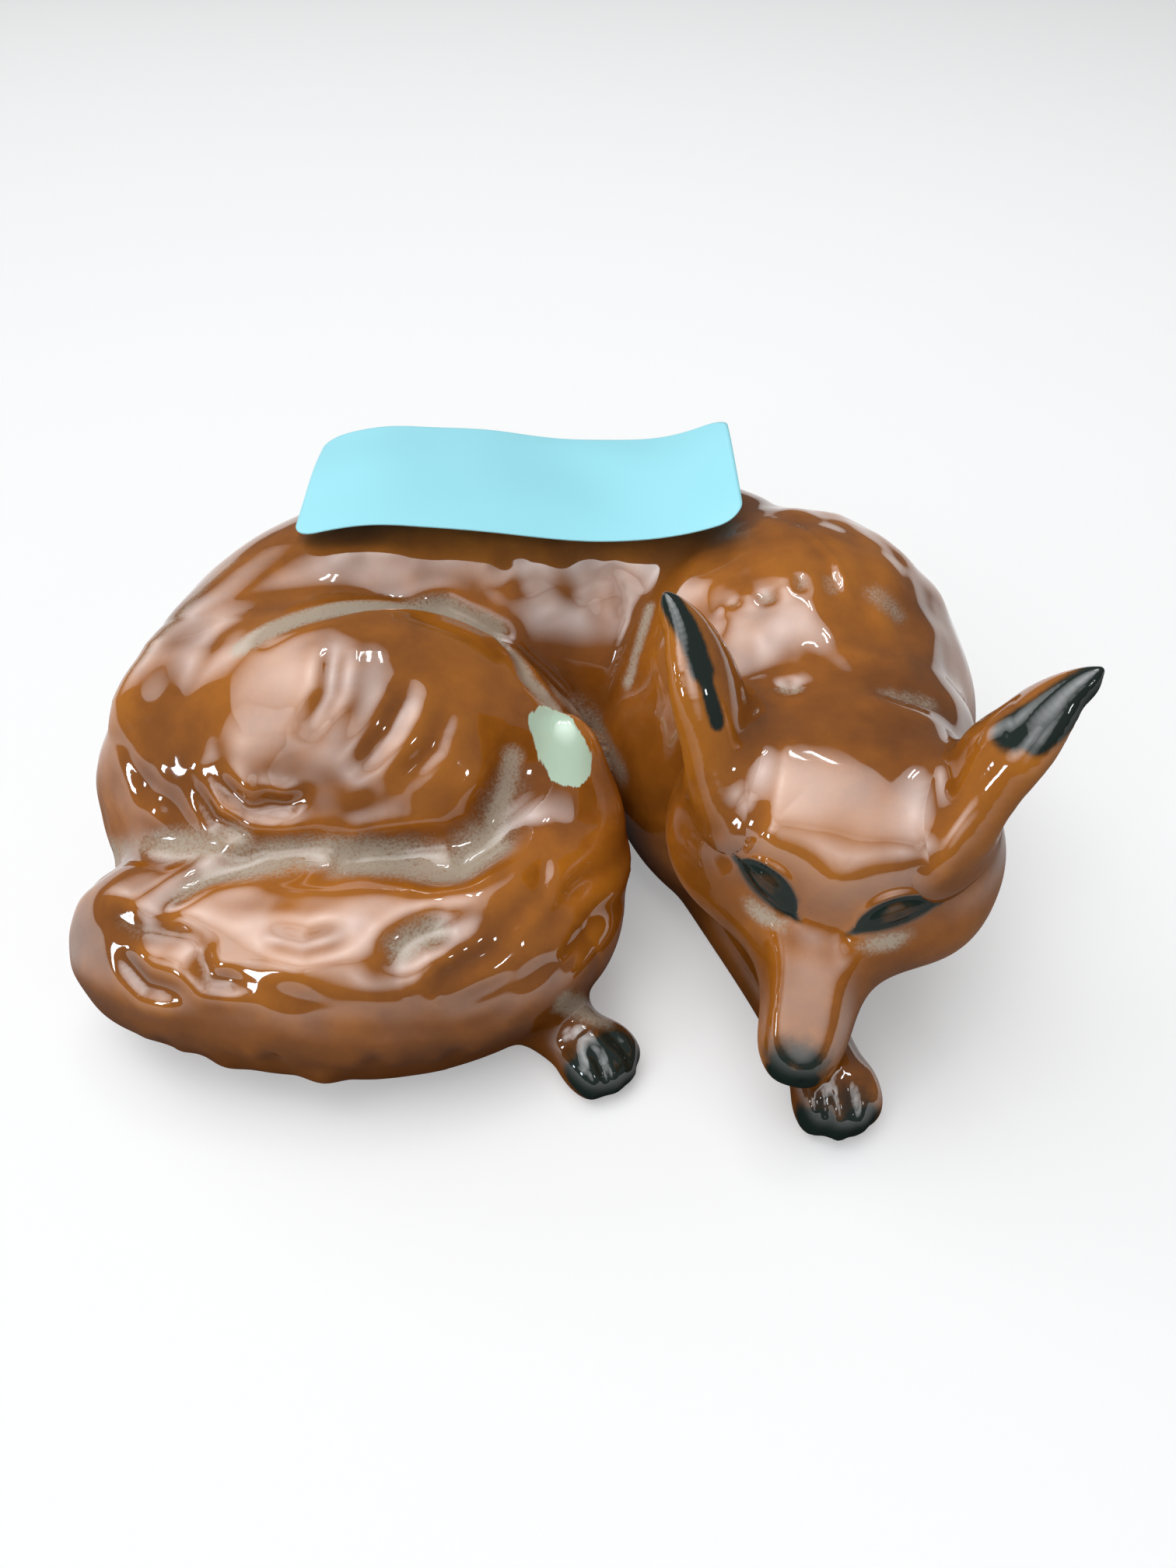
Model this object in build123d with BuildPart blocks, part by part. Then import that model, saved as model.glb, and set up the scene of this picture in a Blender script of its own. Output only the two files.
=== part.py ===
"""Curled fox ornament: hollow castings of glazed earthenware luted together, and a paper sticker.

Millimetres, +Z up. The fox lies on the plane Z = 0 with its face towards -Y, and the
origin is under the middle of its footprint. Each casting is one solid. A later casting
is trimmed to the ones that carry it, so that they meet face to face along the line where
they were luted with slip before firing.
"""

import os
from math import cos, radians, sin

from build123d import *

# Casting
wall = 3.5  # thickness of a hollow casting
drain_bore = 9.0  # hole in the base that the slip was poured out of
vent_bore = 4.0  # air way from one hollow to the next, for the kiln

# Back: ribs and loin, a roll that bends from the hip round to the shoulder
back_width = 43.0
back_height = 45.5
back_middle = 20.5  # height of the middle of the roll
back_spine = [(-36.2, -6.2), (-32.7, 11.8), (-15.7, 23.3), (8.8, 25.3), (32.8, 20.8)]
back_profile = [
    (0.0, 0.68),
    (0.12, 0.88),
    (0.3, 0.98),
    (0.5, 1.0),
    (0.75, 1.0),
    (0.9, 0.98),
    (1.0, 0.82),
]

# Forequarter: chest and neck, with the shoulder blade raised on its inner side
chest_at = (32.8, 9.8, 18.0)
chest_reach = (26.0, 30.0, 29.0)
shoulder_at = (24.3, 8.3, 20.0)
shoulder_reach = (14.5, 20.0, 25.0)
neck_at = (35.3, -7.2, 26.0)
neck_reach = (19.0, 18.0, 17.0)

# Haunch: the folded thigh
haunch_at = (-25.7, -3.2, 16.0)
haunch_reach = (33.0, 21.5, 28.0)

# Tail: a full brush that starts at the rump and climbs the haunch to end in a point
tail_width = 25.0
tail_height = 26.0
tail_middle = 12.5
tail_spine = [
    (-55.2, -22.2),
    (-44.2, -26.0),
    (-30.2, -29.2),
    (-15.2, -29.2),
    (-2.7, -23.7),
    (3.2, -14.2),
    (2.8, -5.5),
]
tail_profile = [
    (0.0, 0.42, 12.0),
    (0.055, 0.74, 12.0),
    (0.145, 0.92, 12.5),
    (0.33, 1.0, 12.5),
    (0.575, 1.0, 12.5),
    (0.75, 0.9, 13.0),
    (0.85, 0.73, 16.0),
    (0.93, 0.5, 22.5),
    (1.0, 0.1, 31.5),
]
tail_root_at = (-47.2, -12.2, 8.0)
tail_root_reach = (9.5, 14.0, 11.0)

# Head: skull and muzzle along one axis, with the chin on the foreleg
poll_at = (36.3, -15.2, 37.0)  # top of the neck, where the head's axis starts
head_turn = 12.5  # degrees to the fox's right
head_drop = 37.0  # degrees below the horizontal
head_roll = -5.0  # degrees about the axis, crown to the fox's left
head_length = 40.5
skull_width = 38.5
skull_height = 27.0
skull_sag = 2.5  # how far the skull's middle lies under the axis
skull_profile = [
    (-0.1, 0.4),
    (-0.03, 0.62),
    (0.06, 0.8),
    (0.16, 0.94),
    (0.28, 1.0),
    (0.43, 0.95),
    (0.56, 0.74),
]
muzzle_width = 10.0
muzzle_height = 9.6
muzzle_sag = 1.8
muzzle_profile = [(0.69, 1.36), (0.78, 1.1), (0.9, 0.97), (0.965, 0.74), (1.0, 0.26)]

# Ears: thick cups on the skull, open to the side
ear_length = 20.0
ear_width = 14.0
ear_depth = 8.0
ear_wall = 2.2
ear_spread = 13.5  # from the head's middle plane to the middle of an ear's root
ear_station = 6.0  # from the poll, along the head's axis
ear_rise = 5.5  # of the root above the axis
ear_lean_out = 26.0  # degrees
ear_lean_back = 47.0  # degrees
ear_profile = [
    (-0.35, 1.25),
    (0.0, 1.18),
    (0.2, 1.05),
    (0.4, 0.88),
    (0.65, 0.6),
    (0.85, 0.33),
    (1.0, 0.1),
]
ear_cup_profile = [(0.0, 1.0), (0.3, 0.92), (0.6, 0.66), (0.85, 0.33)]  # of the hollow

# Legs: the foreleg under the chin, and the hind paw that comes out under the tail
leg_spine = [(20.8, 0.8), (27.3, -17.2), (32.8, -33.2), (35.0, -42.2)]
leg_profile = [(0.0, 1.3), (0.4, 1.15), (0.75, 1.0), (1.0, 1.0)]
leg_width = 9.0
leg_height = 9.5
hind_spine = [(-8.2, -23.2), (0.8, -30.2), (7.3, -36.2)]
hind_profile = [(0.0, 1.0), (0.5, 1.0), (1.0, 0.95)]
hind_width = 8.6
hind_height = 7.6
leg_flat = 1.4  # how much of a leg's round is pressed flat where it lies on the ground

# Toes, the same on both paws
toe_count = 4
toe_root = 3.6  # how far a toe starts behind the end of the leg
toe_reach = 4.8  # how far the middle toes stand out in front of it
toe_bow = 0.14  # how fast the outer toes fall back, per mm of offset
toe_fullness = 1.45  # width of a toe, in toe spacings
toe_spread = 1.1
toe_height = 0.9  # share of the leg's height
toe_profile = [(0.0, 0.6), (0.35, 1.0), (0.75, 0.9), (1.0, 0.35)]

# Sticker on the back
sticker_length = 57.0
sticker_width = 27.0
sticker_thickness = 0.2
sticker_corner = 3.0
sticker_at = (-3.2, 25.8)
sticker_lift = 0.3  # off the top of the back
sticker_wave = [0.6, 2.2, 0.3, 4.0]  # rise of the paper at even steps from its -X end
sticker_droop = 0.6  # how far its long edges hang below its middle


def roll(path, profile, width, height, middle, inset=0.0):
    """Loft of upright ellipses along a level path, drawn in on all sides by inset."""
    trim = inset / path.length
    with BuildPart() as form:
        for share, size, *own_middle in profile:
            if size * min(width, height) / 2 < 1.5 * inset:
                continue
            station = trim + share * (1 - 2 * trim)
            here, heading = path @ station, path % station
            centre = (here.X, here.Y, own_middle[0] if own_middle else middle)
            with BuildSketch(Plane(centre, x_dir=(heading.Y, -heading.X, 0), z_dir=heading)):
                Ellipse(size * width / 2 - inset, size * height / 2 - inset)
        loft()
    return form.part


def egg(centre, reach, inset=0.0):
    """Ball stretched to its reach along X, Y and Z, drawn in on all sides by inset."""
    with BuildPart(Plane(centre)) as form:
        Sphere(1)
        scale(by=tuple(half - inset for half in reach), about=centre)
    return form.part


def above(level, *forms):
    """Forms joined and cut off level at a height."""
    with BuildPart() as kept:
        for form in forms:
            add(form)
        split(bisect_by=Plane.XY.offset(level), keep=Keep.TOP)
    return kept.part


def hollow(inner, *neighbours):
    """Room inside a casting, above its floor and a wall away from its neighbours."""
    with BuildPart() as room:
        add(above(wall, *inner))
        add(neighbours, mode=Mode.SUBTRACT)
    return room.part


def air_way(start, stop):
    """Straight bore from one hollow into the next."""
    run = stop - start
    with BuildPart() as bore:
        with BuildSketch(Plane(start, z_dir=run)):
            Circle(vent_bore / 2)
        extrude(amount=run.length)
    return bore.part


# Paths and axes
with BuildLine() as back_line:
    Spline(back_spine)
back_path = back_line.edge()
with BuildLine() as tail_line:
    Spline(tail_spine)
tail_path = tail_line.edge()
turn, drop = radians(head_turn), radians(head_drop)
head_axis = Plane(
    poll_at,
    x_dir=(cos(turn), -sin(turn), 0),
    z_dir=(-sin(turn) * cos(drop), -cos(turn) * cos(drop), -sin(drop)),
).rotated((0, 0, head_roll))

# Air ways, from a point in one hollow to a point in the next
hip, loin, withers = (back_path @ share + Vector(0, 0, back_middle) for share in (0.25, 0.5, 0.85))
thigh = Vector(*haunch_at) - Vector(0, haunch_reach[1] / 2, 0)
breast = back_path @ 1 + (back_path % 1) * (3 * wall) + Vector(0, 0, back_middle)
brush = tail_path @ 0.45 + Vector(0, 0, tail_middle)
brow = head_axis.from_local_coords(Vector(0, -skull_sag, head_length / 4))
hip_vent, withers_vent = air_way(hip, thigh), air_way(withers, breast)
brush_vent, neck_vent = air_way(thigh, brush), air_way(Vector(*neck_at), brow)

# Back
back_size = (back_profile, back_width, 2 * (back_height - back_middle), back_middle)
back_form = above(0, roll(back_path, *back_size))
back_clear = roll(back_path, *back_size, inset=-wall)
with BuildPart() as back_shell:
    add(back_form)
    add(hollow([roll(back_path, *back_size, inset=wall)]), mode=Mode.SUBTRACT)
    with BuildSketch():
        with Locations((loin.X, loin.Y)):
            Circle(drain_bore / 2)
    extrude(amount=back_middle, mode=Mode.SUBTRACT)
    add([hip_vent, withers_vent], mode=Mode.SUBTRACT)

# Forequarter
fore_eggs = [(chest_at, chest_reach), (shoulder_at, shoulder_reach), (neck_at, neck_reach)]
fore_form = above(0, *(egg(*size) for size in fore_eggs))
fore_clear = [egg(*size, inset=-wall) for size in fore_eggs]
with BuildPart() as forequarter_shell:
    add(fore_form)
    add(back_form, mode=Mode.SUBTRACT)
    add(hollow([egg(*size, inset=wall) for size in fore_eggs], back_clear), mode=Mode.SUBTRACT)
    add([withers_vent, neck_vent], mode=Mode.SUBTRACT)

# Haunch
haunch_form = above(0, egg(haunch_at, haunch_reach))
haunch_clear = egg(haunch_at, haunch_reach, inset=-wall)
with BuildPart() as haunch_shell:
    add(haunch_form)
    add(back_form, mode=Mode.SUBTRACT)
    add(hollow([egg(haunch_at, haunch_reach, inset=wall)], back_clear), mode=Mode.SUBTRACT)
    add([hip_vent, brush_vent], mode=Mode.SUBTRACT)

# Tail
tail_size = (tail_profile, tail_width, tail_height, tail_middle)
tail_form = above(0, roll(tail_path, *tail_size), egg(tail_root_at, tail_root_reach))
with BuildPart() as tail:
    add(tail_form)
    add([haunch_form, back_form], mode=Mode.SUBTRACT)
    add(hollow([roll(tail_path, *tail_size, inset=wall)], haunch_clear, back_clear), mode=Mode.SUBTRACT)
    add(brush_vent, mode=Mode.SUBTRACT)


# Head
def head_section(share, sag, half_width, half_height):
    """Ellipse across the head's axis."""
    centre = head_axis.from_local_coords((0, -sag, share * head_length))
    with BuildSketch(Plane(centre, x_dir=head_axis.x_dir, z_dir=head_axis.z_dir)) as section:
        Ellipse(half_width, half_height)
    return section.sketch


def skull(rows, inset=0.0):
    """Sections from the poll to the cheeks, drawn in on all sides by inset."""
    return [head_section(share, skull_sag, size * skull_width / 2 - inset, size * skull_height / 2 - inset)
            for share, size in rows]


with BuildPart() as head_form:
    loft(skull(skull_profile) + [
        head_section(share, muzzle_sag, size * muzzle_width / 2, size * muzzle_height / 2)
        for share, size in muzzle_profile])
with BuildPart() as brain_pan:
    loft(skull(skull_profile[1:-1], wall))
with BuildPart() as head_shell:
    add(head_form.part)
    add([fore_form, back_form], mode=Mode.SUBTRACT)
    add(hollow([brain_pan.part], *fore_clear), mode=Mode.SUBTRACT)
    add(neck_vent, mode=Mode.SUBTRACT)


# Ears
def ear(side):
    """Ear on the +X side of the head for side 1, on the -X side for side -1."""
    out, back = radians(ear_lean_out), radians(ear_lean_back)
    grow = (sin(out) * side, cos(out) * cos(back), -cos(out) * sin(back))
    root = head_axis.from_local_coords((ear_spread * side, ear_rise, ear_station))
    grow = head_axis.from_local_coords(grow) - head_axis.origin
    faces = head_axis.x_dir * side
    with BuildPart() as cup:
        for share, size in ear_profile:
            with BuildSketch(Plane(root + grow * (ear_length * share), faces.cross(grow), grow)):
                Ellipse(size * ear_width / 2, size * ear_depth / 2)
        loft()
        for share, size in ear_cup_profile:
            with BuildSketch(Plane(root + grow * (ear_length * share), faces.cross(grow), grow)):
                with Locations((0, size * ear_depth / 2)):
                    Ellipse(size * (ear_width / 2 - ear_wall), size * (ear_depth - ear_wall))
        loft(mode=Mode.SUBTRACT)
        add(head_form.part, mode=Mode.SUBTRACT)
        add(fore_form, mode=Mode.SUBTRACT)
    return cup


left_ear, right_ear = ear(1), ear(-1)


# Legs
def limb(spine, profile, width, height, carriers):
    """Leg that ends in a row of toes, trimmed to the castings that carry it."""
    with BuildLine() as line:
        Spline(spine)
    path = line.edge()
    end, heading = path @ 1, path % 1
    aside = Vector(heading.Y, -heading.X, 0)
    spacing = width / toe_count
    with BuildPart() as leg:
        add(roll(path, profile, width, height + leg_flat, (height - leg_flat) / 2))
        for number in range(toe_count):
            off = (number - (toe_count - 1) / 2) * spacing
            root = end + aside * off - heading * toe_root
            tip = end + aside * (off * toe_spread) + heading * (toe_reach - toe_bow * off * off)
            with BuildLine() as toe:
                Line((root.X, root.Y), (tip.X, tip.Y))
            tall = toe_height * height
            add(roll(toe.edge(), toe_profile, toe_fullness * spacing, tall, (tall - leg_flat) / 2))
        split(bisect_by=Plane.XY, keep=Keep.TOP)
        add(carriers, mode=Mode.SUBTRACT)
    return leg


foreleg = limb(leg_spine, leg_profile, leg_width, leg_height, [fore_form, back_form, head_form.part])
hind_paw = limb(hind_spine, hind_profile, hind_width, hind_height, [tail_form, haunch_form])

# Sticker
with BuildPart() as sticker:
    for share in (-1, 0, 1):
        seat = (sticker_at[0], sticker_at[1] + share * sticker_width / 2,
                back_height + sticker_lift - sticker_droop * share**2)
        step = sticker_length / (len(sticker_wave) - 1)
        wave = [(number * step - sticker_length / 2, rise) for number, rise in enumerate(sticker_wave)]
        with BuildSketch(Plane(seat, x_dir=(1, 0, 0), z_dir=(0, -1, 0))):
            with BuildLine():
                under = Spline(wave)
                over = Spline([(x, z + sticker_thickness) for x, z in wave])
                Line(under @ 0, over @ 0)
                Line(under @ 1, over @ 1)
            make_face()
    loft()
    with BuildSketch(Plane((*sticker_at, 0))):
        RectangleRounded(sticker_length, sticker_width, sticker_corner)
    extrude(amount=2 * back_height, mode=Mode.INTERSECT)

pieces = {
    "back_shell": back_shell,
    "forequarter_shell": forequarter_shell,
    "haunch_shell": haunch_shell,
    "tail": tail,
    "head_shell": head_shell,
    "left_ear": left_ear,
    "right_ear": right_ear,
    "foreleg": foreleg,
    "hind_paw": hind_paw,
    "sticker": sticker,
}
os.makedirs("parts", exist_ok=True)
for name, piece in pieces.items():
    piece.part.label = name
    export_step(piece.part, f"parts/{name}.step")
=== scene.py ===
"""Curled fox ornament: the castings of the frame, modelled and glazed.

The nine castings are joined into one skin, which is softened and tooled as a
modeller would work the clay, and then cut along the luted seams again, so each
casting gets a closed mesh of its own that meets its neighbours without a step.
Lengths inside the script are millimetres; the meshes go back to metres.
"""

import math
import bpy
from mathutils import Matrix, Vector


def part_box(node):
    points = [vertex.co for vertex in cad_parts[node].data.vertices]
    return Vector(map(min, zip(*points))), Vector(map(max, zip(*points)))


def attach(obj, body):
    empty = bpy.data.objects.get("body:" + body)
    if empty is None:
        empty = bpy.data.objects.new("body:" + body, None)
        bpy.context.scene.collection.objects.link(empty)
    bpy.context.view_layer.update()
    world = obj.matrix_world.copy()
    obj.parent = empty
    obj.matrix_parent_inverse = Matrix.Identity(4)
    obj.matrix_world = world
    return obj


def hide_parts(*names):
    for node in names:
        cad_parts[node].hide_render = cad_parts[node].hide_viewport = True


bl_info = {
    "name": "Curled fox ornament",
    "version": (1, 0, 0),
    "blender": (4, 5, 0),
    "location": "View3D > Sidebar > Fox",
    "description": "Models and glazes the castings of a curled fox ornament",
    "category": "Add Mesh",
}

import bpy
import numpy as np
from bpy.props import FloatProperty, FloatVectorProperty, IntProperty, PointerProperty
from mathutils.bvhtree import BVHTree

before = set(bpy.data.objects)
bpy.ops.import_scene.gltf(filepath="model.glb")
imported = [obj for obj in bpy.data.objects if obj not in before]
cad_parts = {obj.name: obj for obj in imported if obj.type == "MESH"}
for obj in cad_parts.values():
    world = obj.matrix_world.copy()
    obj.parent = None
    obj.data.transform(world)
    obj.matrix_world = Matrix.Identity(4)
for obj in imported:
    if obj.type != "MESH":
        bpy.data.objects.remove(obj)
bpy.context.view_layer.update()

MM = 1000.0
SEAM_SOFT = 1.5
PHOTO_WIDE, PHOTO_HIGH = 1512, 2016
CASTINGS = (
    "back_shell",
    "forequarter_shell",
    "haunch_shell",
    "tail",
    "head_shell",
    "left_ear",
    "right_ear",
    "foreleg",
    "hind_paw",
)

# The line that the brush follows over the floor, from its root to its tip
BRUSH_LINE = (
    (-55.2, -22.2),
    (-44.2, -26.0),
    (-30.2, -29.2),
    (-15.2, -29.2),
    (-2.7, -23.7),
    (3.2, -14.2),
    (2.8, -5.5),
)

# Tool marks, as the photograph's camera sees them: pixels, half width, depth, dust
TOOL_MARKS = (
    (((422, 1111), (475, 1097), (525, 1091), (580, 1078)), 1.6, 0.9, 0.5),
    (((200, 1173), (262, 1125), (345, 1096), (430, 1085)), 1.5, 0.9, 0.8),
    (((494, 1240), (535, 1205), (583, 1185)), 1.8, 0.8, 0.8),
    (((251, 1008), (277, 1054), (329, 1075)), 1.1, 0.6, 0.3),
    (((272, 998), (318, 1039), (385, 1044)), 1.1, 0.6, 0.2),
    (((329, 1023), (370, 1034), (391, 1023)), 0.9, 0.45, 0.2),
    (((396, 936), (422, 889), (432, 827)), 1.2, 0.4, 0.0),
    (((463, 988), (499, 941), (525, 889)), 1.2, 0.5, 0.0),
    (((520, 1000), (560, 960), (575, 910)), 1.2, 0.4, 0.0),
    (((153, 1220), (189, 1266), (236, 1277)), 1.3, 0.6, 0.2),
    (((251, 1220), (267, 1261), (313, 1266)), 1.2, 0.6, 0.2),
    (((137, 1173), (180, 1200), (262, 1205)), 1.3, 0.5, 0.3),
    (((330, 1200), (390, 1215), (450, 1200)), 1.4, 0.5, 0.1),
    (((560, 1262), (600, 1240), (650, 1216)), 1.3, 0.5, 0.2),
    (((640, 1200), (690, 1150), (700, 1100)), 1.3, 0.4, 0.1),
    (((160, 960), (185, 1010), (240, 1050)), 1.5, 0.4, 0.1),
    # The wide valley between the haunch and the brush, and the hip that hides its seam
    (((661, 965), (652, 1020), (632, 1075), (585, 1112), (520, 1110), (450, 1102)), 2.8, 1.3, 0.6),
    (((225, 800), (196, 855), (165, 910), (150, 950)), 4.5, -1.8, 0.0),
    # The crease between haunch and back, and the web behind the left ear
    (
        ((342, 822), (374, 803), (425, 788), (478, 778), (572, 782), (640, 820), (677, 872), (708, 905)),
        1.2,
        0.7,
        0.7,
    ),
    (((1235, 955), (1265, 948), (1300, 930)), 3.6, -0.8, 0.0),
    # Dents along the back
    (((630, 715), (668, 728), (690, 765)), 2.2, 0.35, 0.0),
    (((715, 700), (742, 735), (760, 775)), 2.4, 0.4, 0.0),
    (((780, 725), (800, 760), (805, 795)), 1.7, 0.3, 0.0),
    (((420, 715), (470, 705), (530, 712)), 1.6, -0.3, 0.0),
    # Dents across the shoulder
    (((985, 756), (990, 778)), 1.2, 0.3, 0.5),
    (((1029, 738), (1031, 764)), 1.0, 0.25, 0.45),
    (((1066, 735), (1071, 768)), 1.1, 0.3, 0.45),
    (((1110, 745), (1140, 775), (1170, 805)), 2.0, 0.3, 0.5),
    (((940, 772), (950, 780)), 0.9, 0.25, 0.4),
    (((1120, 885), (1160, 897), (1215, 908)), 1.4, 0.25, 0.5),
    (((995, 880), (1018, 887), (1036, 882)), 0.9, 0.4, 0.6),
    (((1022, 676), (1070, 715), (1092, 762)), 0.5, -0.2, 0.0),
    # Grooves between the toes
    (((757, 1346), (768, 1360), (775, 1376), (779, 1398)), 0.6, 0.45, 0.0),
    (((776, 1324), (792, 1337), (805, 1352), (812, 1372)), 0.6, 0.4, 0.0),
    (((1058, 1400), (1062, 1430), (1064, 1468)), 0.7, 0.5, 0.0),
    (((1090, 1388), (1096, 1420), (1098, 1466)), 0.7, 0.5, 0.0),
    # Tufts along the lower edge of the brush
    (((350, 1358), (350, 1370)), 1.2, 0.4, 0.0),
    (((480, 1360), (481, 1374)), 1.2, 0.45, 0.0),
    (((415, 1372), (416, 1388)), 2.2, -0.6, 0.0),
    (((213, 1336), (210, 1346)), 1.2, 0.4, 0.0),
    (((584, 1350), (585, 1364)), 1.2, 0.4, 0.0),
    (((282, 1355), (284, 1370)), 2.2, -0.4, 0.0),
)

# How deep a tool mark's ends stay, how high and how far off its burr is, and how wide its dust lies
END_DEPTH, BURR_RISE, BURR_AWAY, DUST_SPREAD = 0.25, 0.35, 1.9, 1.3

# Painted marks, as the photograph's camera sees them: layer, pixels, half width, strength
PAINT_MARKS = (
    ("ink", ((1305, 940), (1340, 918), (1385, 890), (1425, 872)), 2.2, 1.0),
    ("ink", ((1335, 948), (1380, 915), (1420, 885)), 1.8, 1.0),
    ("ink", ((863, 772), (871, 785), (890, 820), (903, 860)), 1.4, 1.0),
    ("ink", ((903, 860), (912, 890), (923, 930)), 0.9, 0.9),
    ("ink", ((748, 1385), (778, 1402), (812, 1386)), 2.8, 1.0),
    ("ink", ((768, 1368), (792, 1352), (812, 1372)), 3.0, 1.0),
    ("smoke", ((752, 1352), (790, 1340), (805, 1340)), 3.2, 0.7),
    ("ink", ((1050, 1450), (1083, 1462), (1106, 1450)), 3.2, 1.0),
    ("smoke", ((1054, 1422), (1080, 1428), (1106, 1424)), 3.4, 0.6),
    ("ink", ((1000, 1384), (1034, 1392)), 2.0, 1.0),
    ("smoke", ((1000, 1362), (1022, 1358), (1046, 1370)), 2.6, 0.75),
    ("cream", ((708, 935), (719, 960), (731, 982)), 3.1, 1.0),
    ("dust", ((138, 1097), (232, 1089), (306, 1084)), 2.4, 0.8),
    ("dust", ((311, 1115), (374, 1102), (436, 1094)), 2.4, 0.8),
    ("dust", ((447, 1102), (530, 1110), (590, 1110), (628, 1082)), 2.8, 0.9),
    ("dust", ((628, 1082), (648, 1035), (661, 975)), 1.6, 0.9),
    ("dust", ((311, 832), (374, 799), (478, 776), (572, 780), (635, 809), (677, 872), (708, 905)), 1.6, 1.0),
    ("dust", ((720, 895), (758, 935), (795, 990)), 2.6, 0.7),
    # A pale band on the back's left rim: a painted highlight, laid in the dust layer.
    ("dust", ((295, 722), (240, 783), (206, 845), (162, 905)), 1.6, 0.5),
    ("dust", ((836, 786), (822, 830), (806, 876)), 1.2, 0.8),
    ("dust", ((722, 1285), (745, 1295), (775, 1312)), 1.6, 0.9),
)

# Where each layer's marks fade out and where they are full, in half widths
MARK_EDGES = {"ink": (1.6, 0.4), "smoke": (1.9, 0.0), "cream": (1.45, 0.55), "dust": (1.9, 0.0)}

# The corners of each eye and the middles of its lids, in the photograph's pixels
EYES = (
    ((1020, 1180), (946, 1110), (1000, 1131), (972, 1152)),
    ((1103, 1201), (1208, 1166), (1152, 1162), (1160, 1192)),
)

# The point of the brush, which is smoothed under its cream paint, in the photograph's pixels
BRUSH_TIP = ((690, 1000), (712, 950), (745, 1010))

# Where each form is absent and where it is full, in millimetres unless another unit is named
BANDS = {
    # Along, above and beside the head's axis
    "crown back": (-2.0, 4.0),
    "crown front": (21.0, 16.0),
    "crown height": (4.0, 8.0),
    "crown sides": (12.0, 8.0),
    "muzzle": (15.0, 34.0),
    "bridge back": (18.0, 26.0),
    "bridge front": (41.0, 35.0),
    "bridge height": (-1.5, 0.0),
    "bridge sides": (5.2, 3.0),
    "nostrils": (37.0, 38.5),
    "mouth back": (22.0, 27.0),
    "mouth front": (41.0, 39.0),
    "smooth face": (14.0, 18.0),
    # From the seams, above the floor and across the ornament
    "ear seam": (4.0, 1.5),
    "ear height": (34.0, 42.0),
    "ear tips": (40.0, 50.0),
    "hip seam": (6.0, 2.5),
    "hip height": (10.0, 18.0),
    "hip across": (-20.0, -30.0),
    "tip seam": (6.0, 2.0),
    "tip height": (20.0, 26.0),
    "tip across": (-26.0, -16.0),
    "nape seam": (5.0, 1.0),
    "nape height": (26.0, 34.0),
    "nape across": (8.0, 14.0),
    "low haunch": (40.0, 30.0),
    "ruff height": (26.0, 36.0),
    "cream seam": (2.5, 1.5),
    "brush tip": (7.0, 3.0),
    "bare foot": (0.05, 0.0),
    # How deep a hollow is
    "small hollow": (0.08, 0.4),
    "large hollow": (0.5, 1.4),
    # From an eye's edge
    "eyeball": (0.0, 1.2),
    "lid shade": (1.9, 0.0),
    "eye paint": (0.9, 0.1),
    # Along an eye, in half lengths
    "inner corner": (-1.6, -1.0),
    "outer corner": (1.5, 1.1),
    # Shares of a direction: sideways and upward
    "ear inside": (0.7, 0.1),
    "steep side": (0.6, 0.15),
}

# How often a form is smoothed, and the share of the smoothing that its ridges get
SMOOTHING = {
    "ears": (60, 1.0),
    "paws": (24, 0.7),
    "brush tip": (60, 0.8),
    "face": (50, 1.0),
    "tool marks": (2, 0.5),
}

# Locks of fur in millimetres: how long and how wide they are, and how far they sway over what distance
BRUSH_LOCK, BRUSH_SWAY = (24.0, 8.5), (4.0, 16.0)
HAUNCH_LOCK, HAUNCH_SWAY = (15.0, 7.5), (4.0, 14.0)
BRUSH_LENGTH = 76.0
RUFF_RIPPLE = (4.2, 6.5, 6.0)

# The way the haunch's locks fall, and the way the haunch faces
HAUNCH_FALL, HAUNCH_FACING = (-0.35, -0.75, -0.55), (0.2, -0.6, 0.8)

# The clay round an eye in millimetres: how deep or high each form is, and how wide it runs
SOCKET_DEPTH, SOCKET_WIDTH = 0.9, 3.6
EYEBALL_RISE = 0.7
UPPER_LID, LOWER_LID, LID_WIDTH = 0.45, 0.1, 0.6
BROW_RISE, BROW_ABOVE, BROW_WIDTH = 0.3, 5.5, 3.0
EYE_REACH = 9.0

# The muzzle in millimetres from the head's axis
BRIDGE_ASIDE, BRIDGE_ENDS, NOSE_TAPER = -2.8, (24.0, 39.0), (33.0, 40.0)
NOSTRIL_ASIDE, NOSTRIL_UP, NOSTRIL_WIDTH = 1.7, 0.4, 0.6
MOUTH_DOWN, MOUTH_WIDTH = 2.4, 0.45
LINE_DEPTH = 0.35

# A hollow in millimetres at which the painted shade, as thick glaze, is full, and how dusty hollows are
FULL_SHADE_HOLLOW, SMALL_DUST, LARGE_DUST = 1.2, 0.7, 0.6

# The foot in millimetres: what is pressed flat, and the drain in it
FOOT_REACH, DRAIN_DEPTH, DRAIN_LIP = 0.35, 6.0, 0.8

# The sticker's rows and columns of points, how rows crowd at its edges, and its waves in millimetres
PAPER_ROWS, PAPER_COLUMNS, PAPER_CROWD, PAPER_WAVE = 61, 121, 0.35, 13.0


def unit(vector):
    """A vector, or rows of them, at length one."""
    vector = np.asarray(vector, float)
    return vector / np.maximum(np.linalg.norm(vector, axis=-1, keepdims=True), 1e-9)


def ease(low, high, value):
    """A soft step from 0 at low to 1 at high."""
    share = np.clip((value - low) / (high - low), 0, 1)
    return share * share * (3 - 2 * share)


def band(name, value):
    """How full a named form is at a value, from 0 to 1."""
    return ease(*BANDS[name], value)


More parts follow.
